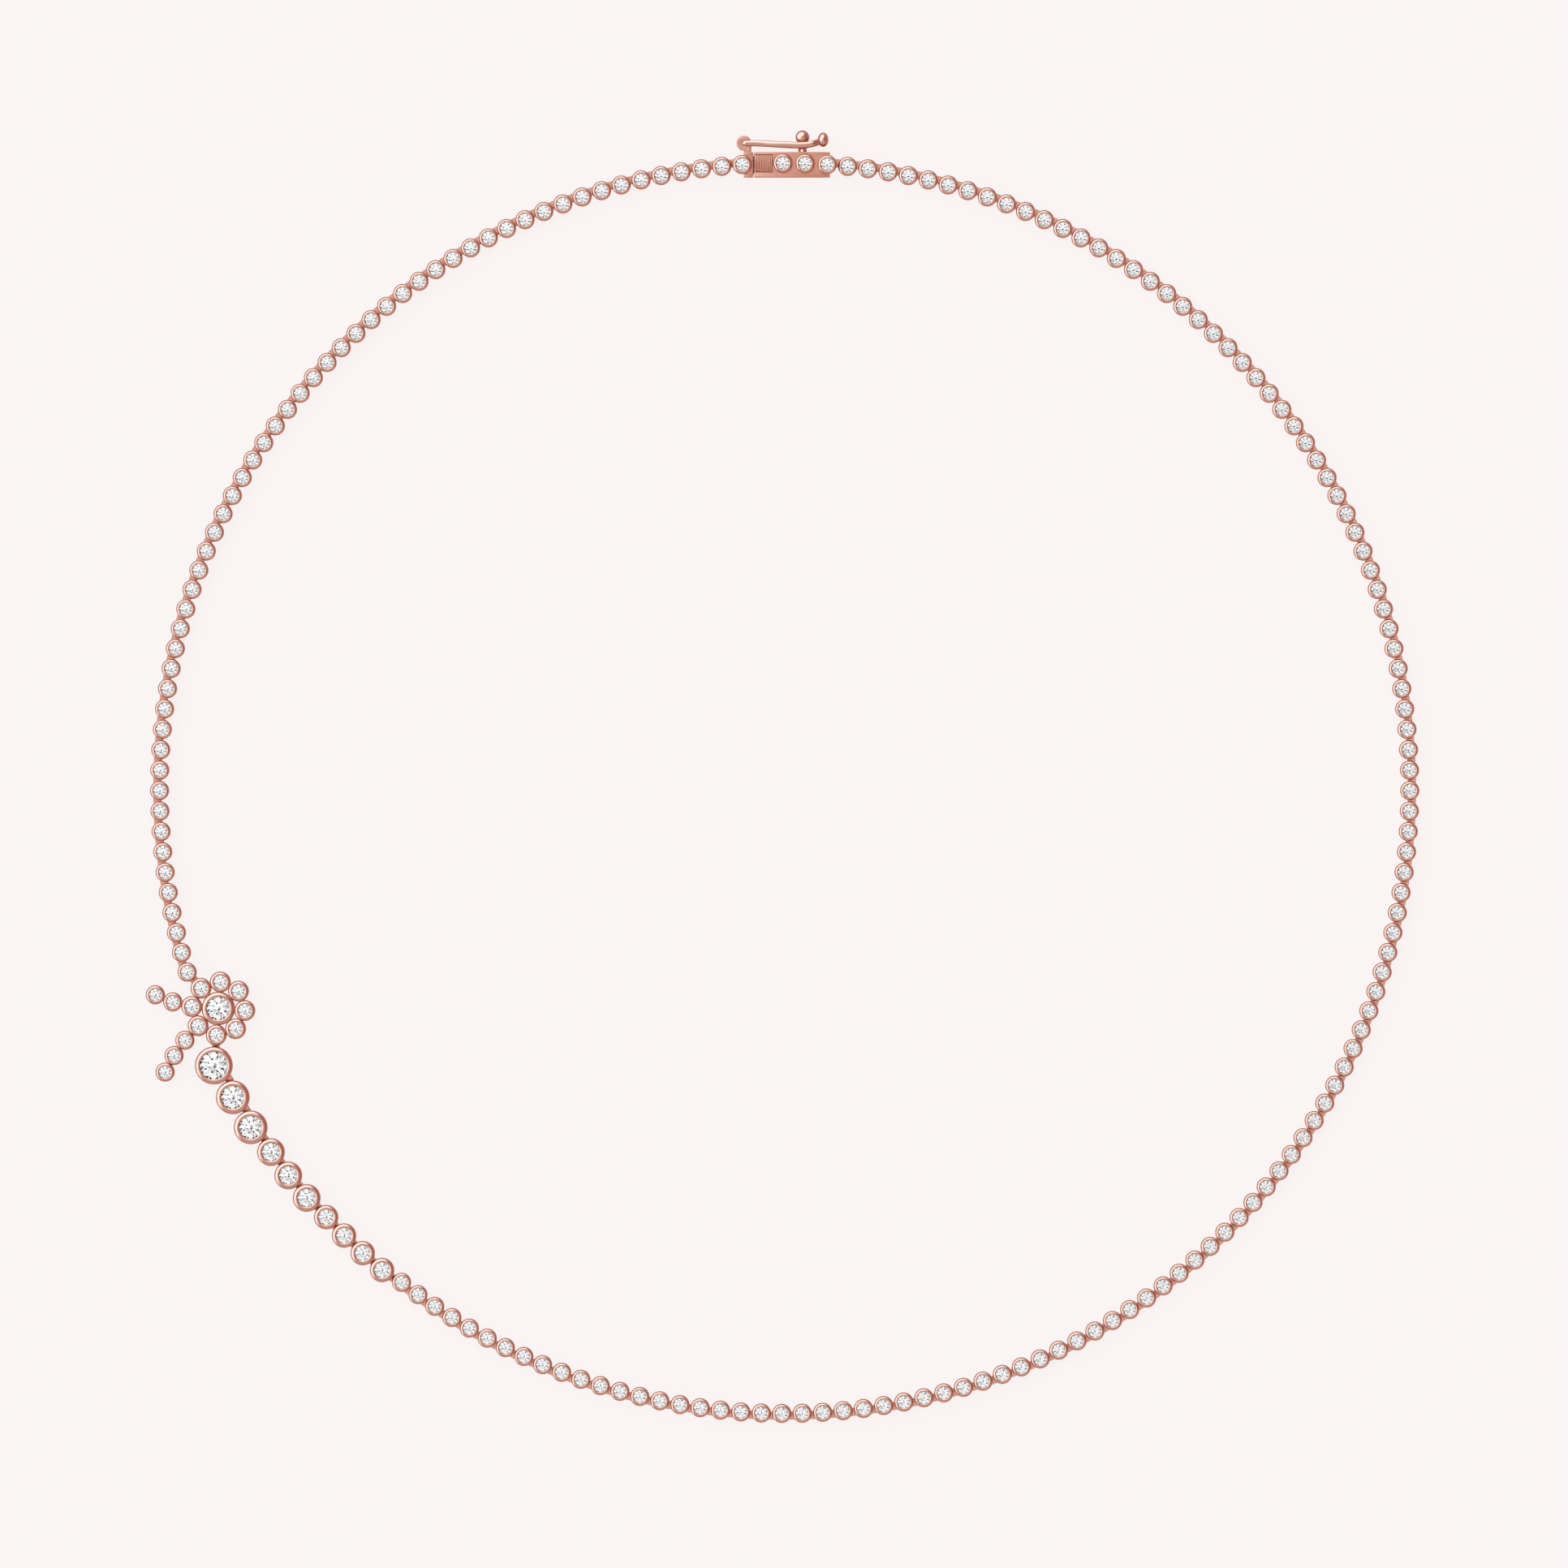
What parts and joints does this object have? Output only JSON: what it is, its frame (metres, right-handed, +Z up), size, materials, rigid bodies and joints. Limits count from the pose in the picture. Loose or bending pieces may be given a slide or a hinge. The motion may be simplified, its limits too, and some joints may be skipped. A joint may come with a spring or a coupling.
{
  "type": "riviere necklace",
  "caption": "Riviere necklace of round stones in cup settings on hinged links, with graduated stones, a stone-set flower and a box clasp with a safety latch.",
  "frame": {"origin": "middle of the closed loop, on the surface that the necklace lies on", "axes": "+Z up, out of the stones' tables; +Y from the middle of the loop to the clasp; +X to the right of the clasp"},
  "size_m": [0.1318, 0.1338, 0.0022],
  "materials": {
    "rose_gold": "polished 18 karat rose gold",
    "diamond": "round brilliant cut, colourless"
  },
  "bodies": {
    "necklace": {"right_chain": "rose_gold", "left_chain": "rose_gold", "graduated_link_1": "rose_gold", "graduated_link_2": "rose_gold", "graduated_link_3": "rose_gold", "graduated_link_4": "rose_gold", "graduated_link_5": "rose_gold", "graduated_link_6": "rose_gold", "graduated_link_7": "rose_gold", "graduated_link_8": "rose_gold", "graduated_link_9": "rose_gold", "graduated_link_10": "rose_gold", "flower_setting": "rose_gold", "clasp_box": "rose_gold", "clasp_tongue": "rose_gold", "graduated_stone_1": "diamond", "graduated_stone_2": "diamond", "graduated_stone_3": "diamond", "graduated_stone_4": "diamond", "graduated_stone_5": "diamond", "graduated_stone_6": "diamond", "graduated_stone_7": "diamond", "graduated_stone_8": "diamond", "graduated_stone_9": "diamond", "graduated_stone_10": "diamond", "heart_stone": "diamond", "petal_stone_1": "diamond", "petal_stone_2": "diamond", "petal_stone_3": "diamond", "petal_stone_4": "diamond", "petal_stone_5": "diamond", "petal_stone_6": "diamond", "petal_stone_7": "diamond", "petal_stone_8": "diamond", "spray_stone_1": "diamond", "spray_stone_2": "diamond", "spray_stone_3": "diamond", "spray_stone_4": "diamond", "spray_stone_5": "diamond", "clasp_stone_1": "diamond", "clasp_stone_2": "diamond", "clasp_stone_3": "diamond", "clasp_stone_4": "diamond"},
    "press": {"thumb_press": "rose_gold"},
    "latch": {"safety_latch": "rose_gold"}
  },
  "joints": [
    {"name": "latch_hinge", "type": "hinge", "parent": "necklace", "child": "latch", "pos_m": [-0.00422, 0.06677, 0.00105], "axis": [0, 0, 1], "range_deg": [0, 120]},
    {"name": "thumb_press_spring", "type": "hinge", "parent": "necklace", "child": "press", "pos_m": [0.00032, 0.06453, 0.00062], "axis": [0, -1, 0], "range_deg": [0, 2.9], "stiffness_Nm_per_rad": 0.1}
  ]
}
